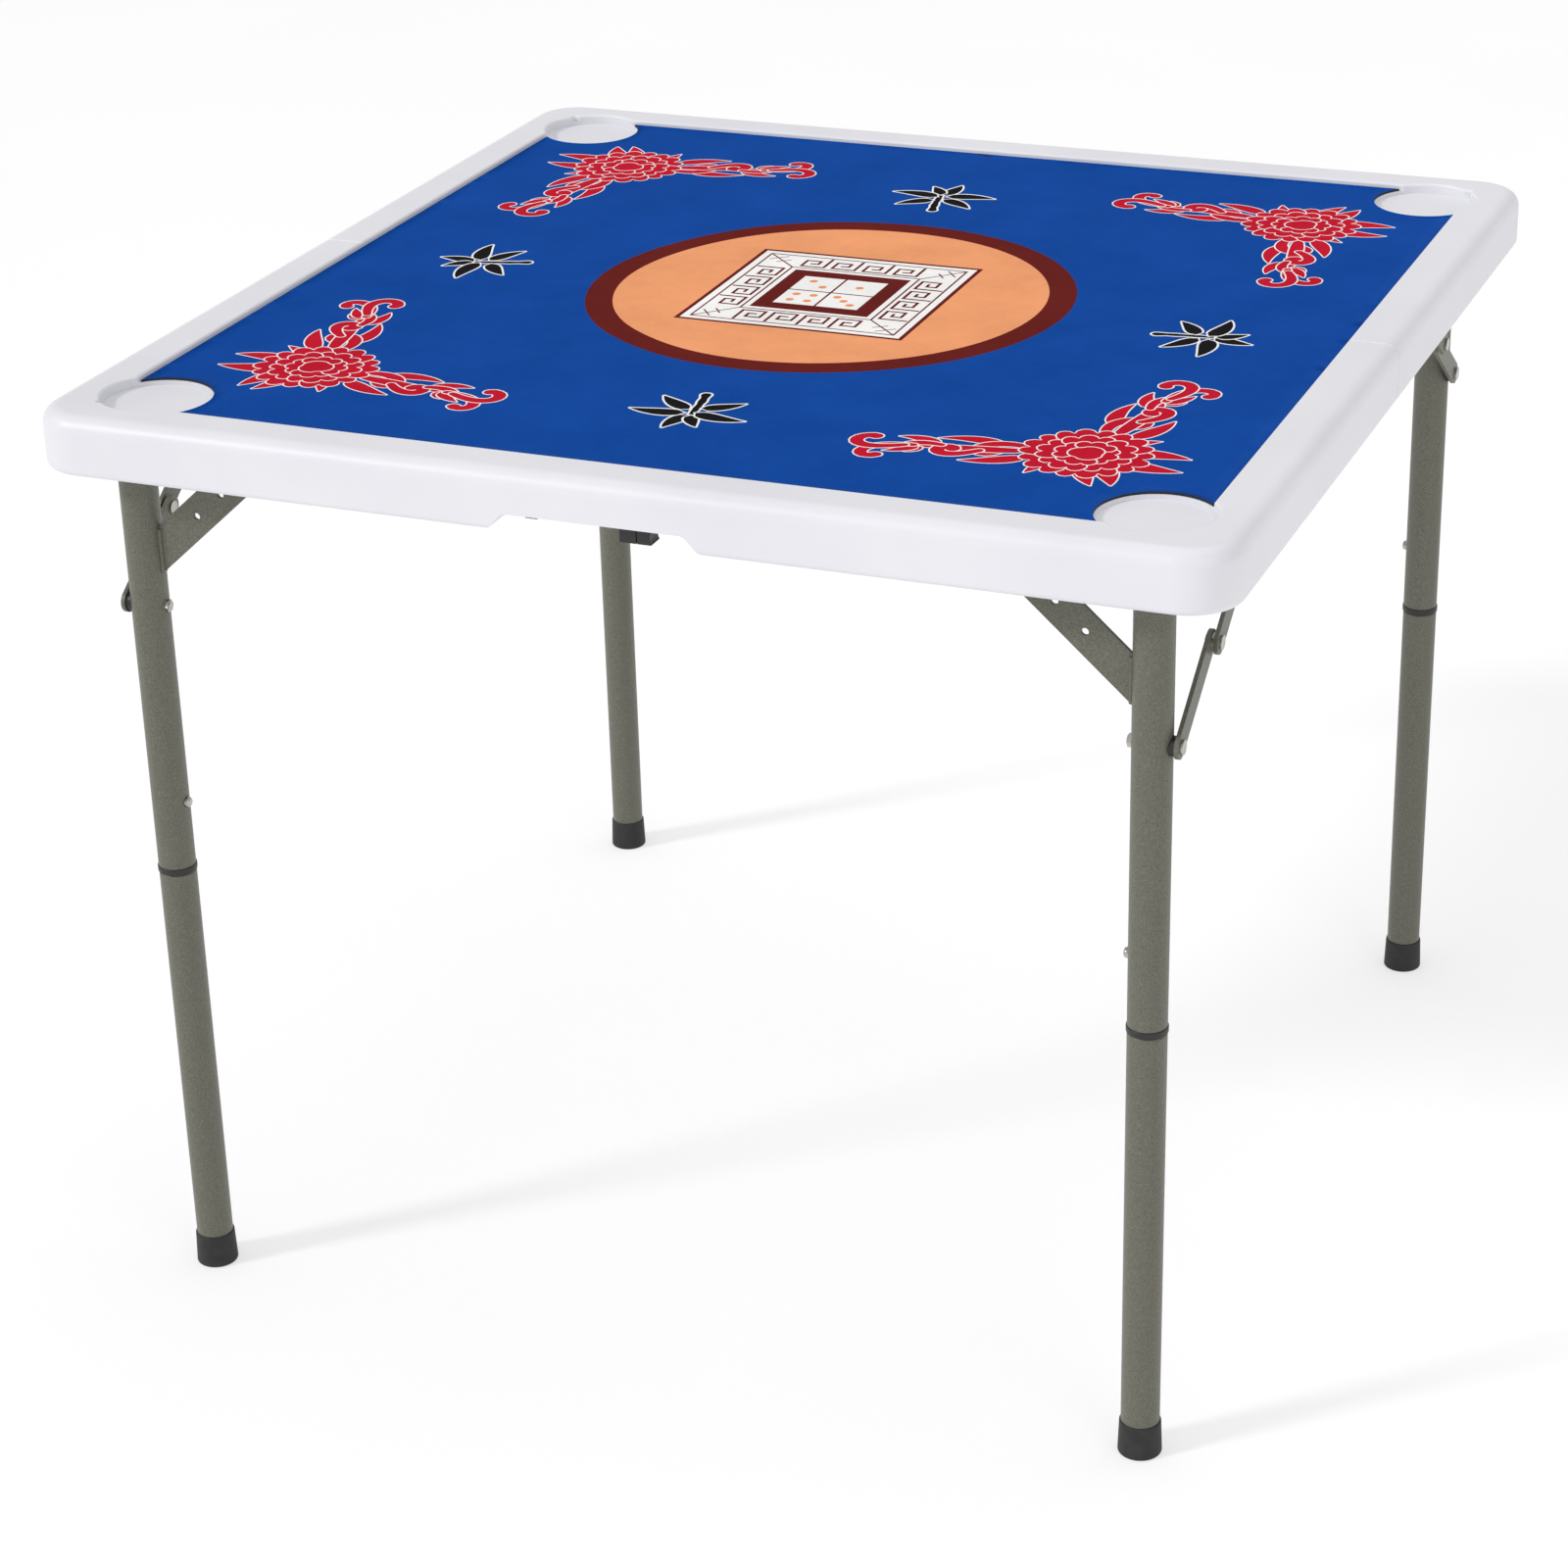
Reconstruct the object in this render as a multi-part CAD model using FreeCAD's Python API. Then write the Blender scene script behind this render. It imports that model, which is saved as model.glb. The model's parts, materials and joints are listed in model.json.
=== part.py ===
import FreeCAD, Part
import math
import os

# Square folding games table. Millimetres, +Z up.
# Origin: on the floor, under the middle of the top. X runs along the fold line, Y across it.
# The front half is at -Y, the back half at +Y.

# ---- driving dimensions ----
HEIGHT = 710.0            # floor to the top of the rim
HALF = 440.0              # half the side of the square top
CORNER_R = 38.0           # plan radius of the outer corners
RIM_DEPTH = 44.0          # height of the outer edge
TOP_EDGE_R = 12.0         # rounding of the upper outer edge
BOTTOM_EDGE_R = 5.0       # rounding of the lower outer edge
INNER_EDGE_R = 2.0        # rounding of the rim above the playing surface
RIM_WALL = 28.0           # thickness of the edge box, seen from below
PAN_CORNER_R = 6.0        # corner of the hollow under the deck
SEAM_EDGE = 1.2           # bevel along the fold, where the two halves meet
SEAM_WALL = 24.0          # thickness of the wall along the fold
RECESS_HALF = 402.0       # half the side of the sunken playing surface
RECESS_DEPTH = 5.0
RECESS_CORNER_R = 2.0     # leaves a small point beside each cup
DECK_UNDER = 9.5          # underside of the deck, below the rim's top
SEAM_GAP = 0.2            # each half stands this far from the fold plane
CUP_PLACE = 371.0         # cup centre, along X and Y
CUP_R = 40.0
CUP_DEPTH = 8.0
CUP_UNDER = 11.3
MAT_HALF = 400.5
MAT_THICK = 2.0
MAT_CUP_R = 41.0
NOTCH_LOW = 81.0          # half width of the carrying notch at its mouth
NOTCH_HIGH = 64.0         # half width at its ceiling
NOTCH_RISE = 13.0

LEG_X = 378.0
LEG_Y = 395.0
LEG_R = 14.0
LEG_WALL = 1.2
PIVOT_Z = HEIGHT - 26.5   # axis of the cross tube
CROSS_R = 9.5
CROSS_END = 408.0         # half length of the cross tube
COLLAR_Z = 342.0          # underside of the collar ring
COLLAR_H = 5.0
COLLAR_R = 14.7
NECK_R = 12.4
NECK_WALL = 1.6
NECK_TOP = 424.0
GUSSET_LOW = 102.0        # foot of the gusset, below the cross tube's axis
GUSSET_H = 36.0
GUSSET_RUN = 96.0
GUSSET_SLOPE = 0.9
GUSSET_HOLES = (33.0, 54.0)
NUT_OUT = 2.4             # how far the strut's nut stands off the tube
NUT_R = 4.8
BUTTON_Z = 399.0
BUTTON_R = 4.0
FOOT_TOP_R = 15.0
FOOT_R = 16.0
FOOT_H = 27.0
FOOT_FLOOR = 5.0

STRUT_Z = HEIGHT - 154.0  # lower pivot of the folding strut
STRUT_REACH = 185.0       # upper pivot, from the cross tube's axis
LINK_W = 17.0
LINK_T = 3.0
LOWER_LINK_X = 394.8      # inner face of the lower link
UPPER_LINK_X = 400.3      # inner face of the upper link
RAIL_X = 403.6            # inner face of the side rail
RAIL_T = 2.0
RIVET_R = 3.0
KNEE_HEAD_R = 5.0
RUN_FIT = 0.05            # radial clearance of the turning joints

HINGE_X = (-250.0, 0.0, 250.0)
HINGE_HALF = 30.0
LEAF_T = 1.6
LEAF_DEPTH = 20.0
KNUCKLE_R = 3.5
PIN_R = 1.8

HANDLE_Y = -405.0
HANDLE_Z = HEIGHT - 40.0
HANDLE_ARM_X = 48.0
HANDLE_REACH = 98.0
HANDLE_T = 6.0

# ---- values worked out from them ----
TOP_Z = HEIGHT
RIM_Z = HEIGHT - RIM_DEPTH
DECK_Z = HEIGHT - DECK_UNDER
FOLD_Z = RIM_Z - SEAM_GAP
NOTCH_Z = RIM_Z + NOTCH_RISE
INNER = HALF - RIM_WALL
STRUT_DROP = PIVOT_Z - STRUT_Z
STRAIGHT = math.hypot(STRUT_DROP, STRUT_REACH)
LOWER_LINK = (STRAIGHT - (STRUT_REACH - STRUT_DROP)) / 2.0
UPPER_LINK = STRAIGHT - LOWER_LINK
LANE_HALF = FOOT_R + 1.0
BUTTON_SEAT = LEG_X - 8.2    # back of the button's flange, inside the neck
SIDES = (-1, 1)
V = FreeCAD.Vector
PARTS = {}


def box(low, high):
    """A box between two corners."""
    size = [b - a for a, b in zip(low, high)]
    return Part.makeBox(size[0], size[1], size[2], V(*low))


def rod(start, direction, radius, length):
    """A round bar from a point along a direction."""
    return Part.makeCylinder(radius, length, V(*start), V(*direction))


def ring(start, direction, outer, inner, length):
    """A plain tube."""
    return rod(start, direction, outer, length).cut(rod(start, direction, inner, length))


def rounded_slab(half, radius, low, high):
    """A square slab with rounded corners in plan."""
    slab = box((-half, -half, low), (half, half, high))
    edges = [e for e in slab.Edges if abs(e.BoundBox.ZLength - (high - low)) < 1e-6]
    return slab.makeFillet(radius, edges)


def outline(points, start, direction):
    """A prism from a closed outline of points, pushed along a vector."""
    wire = Part.makePolygon([V(*p) for p in points] + [V(*points[0])])
    moved = Part.Face(wire)
    moved.translate(V(*start))
    return moved.extrude(V(*direction))


def link(a, b, x0, thickness, width, hole):
    """A flat bar in a plane across X, round at both ends, with a hole at each."""
    length = math.hypot(b[0] - a[0], b[1] - a[1])
    bar = box((x0, 0.0, -width / 2.0), (x0 + thickness, length, width / 2.0))
    for y in (0.0, length):
        bar = bar.fuse(rod((x0, y, 0.0), (1, 0, 0), width / 2.0, thickness))
    for y in (0.0, length):
        bar = bar.cut(rod((x0 - 1.0, y, 0.0), (1, 0, 0), hole, thickness + 2.0))
    angle = math.degrees(math.atan2(b[1] - a[1], b[0] - a[0]))
    bar = bar.removeSplitter()
    bar.rotate(V(0, 0, 0), V(1, 0, 0), angle)
    bar.translate(V(0, a[0], a[1]))
    return bar


def mirror_x(shape, side):
    """The shape itself for the right side, its mirror image for the left."""
    return shape if side > 0 else shape.mirror(V(0, 0, 0), V(1, 0, 0))


def mirror_y(shape, end):
    """The shape itself for the back end, its mirror image for the front."""
    return shape if end > 0 else shape.mirror(V(0, 0, 0), V(0, 1, 0))


def both_sides(shape):
    """One solid on the right and its mirror image on the left."""
    return Part.makeCompound([shape, mirror_x(shape, -1)])


def save(name, shape):
    PARTS[name] = shape


# ---- the moulded top ----
def whole_top():
    """The moulding before it is divided: edge box, deck, sunken surface and cups."""
    top = rounded_slab(HALF, CORNER_R, RIM_Z, TOP_Z)
    upper = [e for e in top.Edges if e.BoundBox.ZMin > TOP_Z - 1e-6]
    top = top.makeFillet(TOP_EDGE_R, upper)
    lower = [e for e in top.Edges if e.BoundBox.ZMax < RIM_Z + 1e-6]
    top = top.makeFillet(BOTTOM_EDGE_R, lower)
    recess = rounded_slab(RECESS_HALF, RECESS_CORNER_R, TOP_Z - RECESS_DEPTH, TOP_Z + 5.0)
    top = top.cut(recess)
    pan = rounded_slab(INNER, PAN_CORNER_R, RIM_Z - 5.0, DECK_Z)
    wall = box((-INNER, -SEAM_WALL, RIM_Z - 5.0), (INNER, SEAM_WALL, DECK_Z))
    for side in SIDES:
        x = side * LEG_X
        wall = wall.cut(box((x - LANE_HALF, -HALF, RIM_Z - 6.0), (x + LANE_HALF, HALF, DECK_Z)))
    pan = pan.cut(wall)
    for side in SIDES:
        for end in SIDES:
            x = side * CUP_PLACE
            y = end * CUP_PLACE
            pan = pan.cut(rod((x, y, TOP_Z - CUP_UNDER), (0, 0, 1), CUP_R + 3.0, 10.0))
    top = top.cut(pan)
    for side in SIDES:
        for end in SIDES:
            x = side * CUP_PLACE
            y = end * CUP_PLACE
            top = top.cut(rod((x, y, TOP_Z - CUP_DEPTH), (0, 0, 1), CUP_R, 20.0))
    inner_rim = [e for e in top.Edges if e.BoundBox.ZMin > TOP_Z - 1e-4
                 and e.BoundBox.DiagonalLength < 2.0 * RECESS_HALF
                 and abs(e.BoundBox.Center.x) < CUP_PLACE + CUP_R
                 and abs(e.BoundBox.Center.y) < CUP_PLACE + CUP_R]
    return top.makeFillet(INNER_EDGE_R, inner_rim)


def notch_tool():
    """The carrying notch: a low opening with S-curved ends."""
    run = NOTCH_LOW - NOTCH_HIGH
    points = []
    for side in SIDES:
        curve = []
        for step in range(9):
            t = step / 8.0
            rise = (1.0 - math.cos(math.pi * t)) / 2.0
            curve.append((side * (NOTCH_LOW - run * t), 0.0, RIM_Z + NOTCH_RISE * rise))
        curve.insert(0, (side * NOTCH_LOW, 0.0, RIM_Z - 2.0))
        points += curve if side < 0 else curve[::-1]
    return outline(points, (0.0, INNER - 1.0, 0.0), (0.0, RIM_WALL + 2.0, 0.0))


def hinge_pocket(x):
    """Room under the fold for one hinge's leaves and knuckle."""
    half = HINGE_HALF + 0.5
    low = (x - half, -LEAF_DEPTH - 0.5, RIM_Z - 1.0)
    high = (x + half, LEAF_DEPTH + 0.5, RIM_Z + LEAF_T + 0.2)
    knuckle = rod((x - half, 0.0, FOLD_Z), (1, 0, 0), KNUCKLE_R + 0.8, 2.0 * half)
    return box(low, high).fuse(knuckle)


def bevelled_seam(shell):
    """A small bevel where the rim of one half meets the other."""
    seam = [e for e in shell.Edges if e.BoundBox.YLength < 1e-6
            and abs(abs(e.BoundBox.Center.y) - SEAM_GAP) < 1e-6
            and abs(e.BoundBox.Center.x) > RECESS_HALF + INNER_EDGE_R
            and e.BoundBox.Center.z > RIM_Z + BOTTOM_EDGE_R]
    return shell.makeChamfer(SEAM_EDGE, seam)


def make_top():
    whole = whole_top()
    for end in SIDES:
        half = box((-HALF, SEAM_GAP, RIM_Z - 1.0), (HALF, HALF, TOP_Z + 1.0))
        shell = whole.common(mirror_y(half, end))
        shell = shell.cut(mirror_y(notch_tool(), end))
        for x in HINGE_X:
            shell = shell.cut(hinge_pocket(x))
            for hole_x in (x - 18.0, x + 18.0):
                shell = shell.cut(rod((hole_x, end * 13.0, RIM_Z - 1.0), (0, 0, 1), 1.6, 16.0))
        for x, y in rail_screw_places():
            for side in SIDES:
                shell = shell.cut(rod((side * x, end * y, DECK_Z - 1.0), (0, 0, 1), 1.6, 4.0))
        shell = bevelled_seam(shell.removeSplitter())
        save("top_shell_back" if end > 0 else "top_shell_front", shell)


def make_mat():
    mat = rounded_slab(MAT_HALF, 4.0, TOP_Z - RECESS_DEPTH, TOP_Z - RECESS_DEPTH + MAT_THICK)
    for side in SIDES:
        for end in SIDES:
            place = (side * CUP_PLACE, end * CUP_PLACE, TOP_Z - 20.0)
            mat = mat.cut(rod(place, (0, 0, 1), MAT_CUP_R, 40.0))
    for end in SIDES:
        half = box((-HALF, 0.4, 0.0), (HALF, HALF, TOP_Z + 1.0))
        piece = mat.common(mirror_y(half, end))
        solid = max(piece.Solids, key=lambda s: s.Volume)
        save("mat_back" if end > 0 else "mat_front", solid)


# ---- the fold hinge ----
def hinge_leaf(x, end):
    """One leaf with its knuckles: the back leaf has the two outer ones."""
    low = (x - HINGE_HALF, KNUCKLE_R - 0.9, RIM_Z)
    leaf = box(low, (x + HINGE_HALF, LEAF_DEPTH, RIM_Z + LEAF_T))
    leaf = mirror_y(leaf, end)
    third = 2.0 * HINGE_HALF / 3.0
    outer = [(x - HINGE_HALF, third - 0.3), (x + third / 2.0 + 0.3, third - 0.3)]
    spans = outer if end > 0 else [(x - third / 2.0, third)]
    for start, length in spans:
        leaf = leaf.fuse(rod((start, 0.0, FOLD_Z), (1, 0, 0), KNUCKLE_R, length))
    gaps = [(x - third / 2.0 - 0.3, third + 0.6)] if end > 0 else [(s - 0.3, n + 0.6) for s, n in outer]
    for start, length in gaps:
        leaf = leaf.cut(rod((start, 0.0, FOLD_Z), (1, 0, 0), KNUCKLE_R + 0.4, length))
    bore = PIN_R if end > 0 else PIN_R + RUN_FIT
    leaf = leaf.cut(rod((x - HINGE_HALF - 1.0, 0.0, FOLD_Z), (1, 0, 0), bore, 2.0 * HINGE_HALF + 2.0))
    for hole_x in (x - 18.0, x + 18.0):
        leaf = leaf.cut(rod((hole_x, end * 13.0, RIM_Z - 1.0), (0, 0, 1), 1.6, LEAF_T + 2.0))
    return leaf.removeSplitter()


def flat_screw(x, y, z, up, head_r, head_h, shank_r, length):
    """A screw with a low head; up is +1 where it is driven upwards."""
    head = rod((x, y, z), (0, 0, -up), head_r, head_h)
    return head.fuse(rod((x, y, z), (0, 0, up), shank_r, length)).removeSplitter()


def make_hinges():
    for end, word in ((1, "back"), (-1, "front")):
        leaves = [hinge_leaf(x, end) for x in HINGE_X]
        save("hinge_leaves_" + word, Part.makeCompound(leaves))
        screws = []
        for x in HINGE_X:
            for hole_x in (x - 18.0, x + 18.0):
                screw = rod((hole_x, end * 13.0, RIM_Z - 0.1), (0, 0, 1), 1.6, 15.0)
                screws.append(screw)
        save("hinge_screws_" + word, Part.makeCompound(screws))
    pins = [rod((x - HINGE_HALF, 0.0, FOLD_Z), (1, 0, 0), PIN_R, 2.0 * HINGE_HALF) for x in HINGE_X]
    save("hinge_pins", Part.makeCompound(pins))


# ---- side rails, which carry the cross tubes and the struts ----
def rail_screw_places():
    """Screws through the rail's flange, measured on the right at the back."""
    x = RAIL_X - 2.6
    return [(x, LEG_Y - 76.0), (x, LEG_Y - STRUT_REACH - 30.0)]


def side_rail(end):
    """Angle rail: lower beside the cup, with an arch that lets the strut's knee pass."""
    near = LEG_Y + 14.0
    far = LEG_Y - STRUT_REACH - 40.0
    cup_side = LEG_Y - 62.0
    knee = LEG_Y - STRUT_REACH + UPPER_LINK
    web = box((RAIL_X, far, PIVOT_Z - 15.0), (RAIL_X + RAIL_T, near, TOP_Z - CUP_UNDER - 0.3))
    web = web.fuse(box((RAIL_X, far, PIVOT_Z), (RAIL_X + RAIL_T, cup_side, DECK_Z)))
    flange = box((RAIL_X - 5.2, far, DECK_Z - RAIL_T), (RAIL_X + RAIL_T, cup_side, DECK_Z))
    rail = web.fuse(flange)
    arch = box((RAIL_X - 1.0, knee - 18.0, 0.0), (RAIL_X + RAIL_T + 1.0, knee + 18.0, PIVOT_Z + 7.0))
    rail = rail.cut(arch)
    bores = ((LEG_Y, CROSS_R + RUN_FIT), (LEG_Y - STRUT_REACH, RIVET_R))
    for y, radius in bores:
        rail = rail.cut(rod((RAIL_X - 1.0, y, PIVOT_Z), (1, 0, 0), radius, RAIL_T + 2.0))
    for x, y in rail_screw_places():
        rail = rail.cut(rod((x, y, DECK_Z - RAIL_T - 1.0), (0, 0, 1), 1.6, RAIL_T + 2.0))
    return mirror_y(rail.removeSplitter(), end)


def top_rivet(end):
    """Turning rivet of the strut's upper end, set in the rail."""
    y = LEG_Y - STRUT_REACH
    reach = RAIL_X + RAIL_T - UPPER_LINK_X + 0.1
    rivet = rod((UPPER_LINK_X - 1.7, y, PIVOT_Z), (1, 0, 0), RIVET_R + 2.0, 1.6)
    rivet = rivet.fuse(rod((UPPER_LINK_X - 0.1, y, PIVOT_Z), (1, 0, 0), RIVET_R, reach))
    rivet = rivet.fuse(rod((RAIL_X + RAIL_T, y, PIVOT_Z), (1, 0, 0), RIVET_R + 2.0, 1.5))
    return mirror_y(rivet.removeSplitter(), end)


def make_rails():
    for end, word in ((1, "back"), (-1, "front")):
        save("side_rails_" + word, both_sides(side_rail(end)))
        save("strut_top_rivets_" + word, both_sides(top_rivet(end)))
        screws = []
        for x, y in rail_screw_places():
            screw = flat_screw(x, end * y, DECK_Z - RAIL_T, 1, 2.5, 1.4, 1.6, 4.9)
            screws += [screw, mirror_x(screw, -1)]
        save("rail_screws_" + word, Part.makeCompound(screws))


# ---- leg frames ----
def upper_leg(side, end):
    """Upper tube of a leg, its top rounded so that it clears the deck as it turns."""
    low = COLLAR_Z + COLLAR_H
    tube = ring((LEG_X, LEG_Y, low), (0, 0, 1), LEG_R, LEG_R - LEG_WALL, HEIGHT)
    keep = box((0.0, LEG_Y - 20.0, 0.0), (HALF, LEG_Y + 20.0, PIVOT_Z))
    keep = keep.fuse(rod((0.0, LEG_Y, PIVOT_Z), (1, 0, 0), LEG_R, HALF))
    tube = tube.common(keep)
    tube = tube.cut(rod((0.0, LEG_Y, PIVOT_Z), (1, 0, 0), CROSS_R, HALF))
    tube = tube.cut(rod((0.0, LEG_Y, STRUT_Z), (1, 0, 0), RIVET_R, HALF))
    tube = tube.cut(rod((LEG_X - 30.0, LEG_Y, BUTTON_Z), (1, 0, 0), BUTTON_R + 0.1, 30.0))
    solid = max(tube.Solids, key=lambda s: s.Volume)
    return mirror_y(mirror_x(solid, side), end)


def gusset(end):
    """Flat strip from the leg's inner side up to the cross tube."""
    leg_face = LEG_X - LEG_R + 0.4
    half = LINK_T / 2.0
    low = PIVOT_Z - GUSSET_LOW
    high = low + GUSSET_H
    far = leg_face - GUSSET_RUN
    rise = GUSSET_RUN * GUSSET_SLOPE
    strip = outline([(leg_face, 0.0, low), (leg_face, 0.0, high), (far, 0.0, high + rise), (far, 0.0, low + rise)],
                    (0.0, LEG_Y - half, 0.0), (0.0, LINK_T, 0.0))
    strip = strip.cut(box((0.0, LEG_Y - 20.0, PIVOT_Z), (HALF, LEG_Y + 20.0, HEIGHT + 80.0)))
    strip = strip.cut(rod((0.0, LEG_Y, PIVOT_Z), (1, 0, 0), CROSS_R, HALF))
    strip = strip.cut(rod((LEG_X, LEG_Y, 0.0), (0, 0, 1), LEG_R, HEIGHT))
    for along in GUSSET_HOLES:
        centre = (leg_face - along, LEG_Y - 20.0, low + GUSSET_H / 2.0 + along * GUSSET_SLOPE)
        strip = strip.cut(rod(centre, (0, 1, 0), 2.7, 40.0))
    solid = max(strip.Solids, key=lambda s: s.Volume)
    return mirror_y(solid, end)


def weld_bead(end):
    """Bead that joins the gusset to the leg, one on each face of the strip."""
    beads = []
    for face in SIDES:
        y = LEG_Y + face * (LINK_T / 2.0)
        bead = rod((LEG_X - LEG_R - 0.2, y, PIVOT_Z - GUSSET_LOW + 1.5), (0, 0, 1), 2.0, GUSSET_H - 3.0)
        bead = bead.cut(rod((LEG_X, LEG_Y, 0.0), (0, 0, 1), LEG_R, HEIGHT))
        strip = box((0.0, LEG_Y - LINK_T / 2.0, 0.0), (HALF, LEG_Y + LINK_T / 2.0, HEIGHT))
        beads.append(mirror_y(bead.cut(strip), end))
    return beads


def strut_bolt():
    """Bolt through the leg, on which the lower link turns."""
    start = LEG_X - LEG_R - NUT_OUT - 0.6
    outside = LOWER_LINK_X + LINK_T + 0.05
    bolt = rod((start, LEG_Y, STRUT_Z), (1, 0, 0), RIVET_R, outside - start)
    return bolt.fuse(rod((outside, LEG_Y, STRUT_Z), (1, 0, 0), 5.2, 2.0)).removeSplitter()


def strut_nut():
    nut = Part.makePolygon([V(0, NUT_R * math.cos(math.radians(60 * k)), NUT_R * math.sin(math.radians(60 * k)))
                            for k in range(7)])
    nut = Part.Face(nut).extrude(V(NUT_OUT + 1.0, 0, 0))
    nut = nut.cut(rod((-1.0, 0.0, 0.0), (1, 0, 0), RIVET_R, 6.0))
    nut.translate(V(LEG_X - LEG_R - NUT_OUT, LEG_Y, STRUT_Z))
    return nut.cut(rod((LEG_X, LEG_Y, 0.0), (0, 0, 1), LEG_R, HEIGHT))


def strut_spacer():
    """Washer between the leg and the lower link, hollowed to sit on the tube."""
    spacer = rod((LEG_X + 8.0, LEG_Y, STRUT_Z), (1, 0, 0), 7.0, LOWER_LINK_X - 0.05 - LEG_X - 8.0)
    spacer = spacer.cut(rod((LEG_X, LEG_Y, STRUT_Z), (1, 0, 0), RIVET_R, 40.0))
    return spacer.cut(rod((LEG_X, LEG_Y, 0.0), (0, 0, 1), LEG_R, HEIGHT))


def collar(side):
    tube = ring((LEG_X, LEG_Y, COLLAR_Z), (0, 0, 1), COLLAR_R, NECK_R + 0.2, COLLAR_H)
    rim = [e for e in tube.Edges if e.BoundBox.XLength > 2.0 * COLLAR_R - 0.1]
    return mirror_x(tube.makeFillet(0.8, rim), side)


def make_frames():
    for end, word in ((1, "back"), (-1, "front")):
        y = end * LEG_Y
        tube = ring((-CROSS_END, y, PIVOT_Z), (1, 0, 0), CROSS_R, CROSS_R - 1.2, 2.0 * CROSS_END)
        save("cross_tube_" + word, tube)
        plug = rod((CROSS_END - 6.0, y, PIVOT_Z), (1, 0, 0), CROSS_R - 1.2, 6.0)
        plug = plug.fuse(rod((CROSS_END, y, PIVOT_Z), (1, 0, 0), CROSS_R, 1.6)).removeSplitter()
        save("cross_tube_plugs_" + word, both_sides(plug))
        save("gussets_" + word, both_sides(gusset(end)))
        beads = weld_bead(end)
        save("gusset_welds_" + word, Part.makeCompound(beads + [mirror_x(b, -1) for b in beads]))
        save("strut_bolts_" + word, both_sides(mirror_y(strut_bolt(), end)))
        save("strut_nuts_" + word, both_sides(mirror_y(strut_nut(), end)))
        save("strut_spacers_" + word, both_sides(mirror_y(strut_spacer(), end)))
        save("leg_collars_" + word, both_sides(mirror_y(collar(1), end)))
        for side, hand in ((-1, "left"), (1, "right")):
            save("upper_leg_%s_%s" % (word, hand), upper_leg(side, end))


# ---- folding struts ----
def knee_place():
    """Knee of the straight strut, at the right and the back, as (y, z)."""
    share = LOWER_LINK / STRAIGHT
    return (LEG_Y - STRUT_REACH * share, STRUT_Z + STRUT_DROP * share)


def make_struts():
    foot = (LEG_Y, STRUT_Z)
    knee = knee_place()
    head = (LEG_Y - STRUT_REACH, PIVOT_Z)
    hole = RIVET_R + RUN_FIT
    lower = link(foot, knee, LOWER_LINK_X, LINK_T, LINK_W, hole)
    upper = link(knee, head, UPPER_LINK_X, LINK_T, LINK_W, hole)
    head_x = UPPER_LINK_X + LINK_T
    rivet = rod((UPPER_LINK_X, knee[0], knee[1]), (1, 0, 0), hole, LINK_T)
    rivet = rivet.fuse(rod((head_x, knee[0], knee[1]), (1, 0, 0), KNEE_HEAD_R, 1.8))
    washer_x = LOWER_LINK_X + LINK_T
    stub = rod((LOWER_LINK_X - 1.4, knee[0], knee[1]), (1, 0, 0), KNEE_HEAD_R, 1.4)
    stub = stub.fuse(rod((LOWER_LINK_X, knee[0], knee[1]), (1, 0, 0), hole, LINK_T))
    stub = stub.fuse(rod((washer_x, knee[0], knee[1]), (1, 0, 0), KNEE_HEAD_R + 1.5, 2.1)).removeSplitter()
    for end, word in ((1, "back"), (-1, "front")):
        save("strut_lower_links_" + word, both_sides(mirror_y(lower, end)))
        save("strut_upper_links_" + word, both_sides(mirror_y(upper, end)))
        save("knee_rivet_heads_" + word, both_sides(mirror_y(rivet.removeSplitter(), end)))
        save("knee_rivet_stubs_" + word, both_sides(mirror_y(stub, end)))


# ---- lower legs ----
def lower_leg(side, end):
    """Lower tube with a rounded shoulder and the neck that plugs into the upper tube."""
    body = rod((LEG_X, LEG_Y, FOOT_FLOOR), (0, 0, 1), LEG_R, COLLAR_Z - 0.3 - FOOT_FLOOR)
    edge = [e for e in body.Edges if e.BoundBox.ZMin > COLLAR_Z - 0.4]
    body = body.makeFillet(1.5, edge)
    body = body.fuse(rod((LEG_X, LEG_Y, COLLAR_Z - 10.0), (0, 0, 1), NECK_R, NECK_TOP - COLLAR_Z + 10.0))
    body = body.cut(rod((LEG_X, LEG_Y, 0.0), (0, 0, 1), NECK_R - NECK_WALL, NECK_TOP + 1.0))
    body = body.cut(rod((LEG_X, LEG_Y, 0.0), (0, 0, 1), LEG_R - LEG_WALL, COLLAR_Z - 14.0))
    body = body.removeSplitter()
    key = BUTTON_R + 0.4
    slot = box((LEG_X - 20.0, LEG_Y - key, BUTTON_Z), (LEG_X, LEG_Y + key, NECK_TOP + 1.0))
    slot = slot.fuse(rod((LEG_X - 20.0, LEG_Y, BUTTON_Z), (1, 0, 0), key, 20.0))
    return mirror_y(mirror_x(body.cut(slot), side), end)


def foot(side, end):
    """Tapered rubber shoe over the end of the tube."""
    shoe = Part.makeCone(FOOT_R, FOOT_TOP_R, FOOT_H, V(LEG_X, LEG_Y, 0.0), V(0, 0, 1))
    shoe = shoe.makeFillet(1.6, [e for e in shoe.Edges if e.BoundBox.ZLength < 1e-6])
    shoe = shoe.cut(rod((LEG_X, LEG_Y, FOOT_FLOOR), (0, 0, 1), LEG_R, FOOT_H))
    return mirror_y(mirror_x(shoe, side), end)


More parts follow.
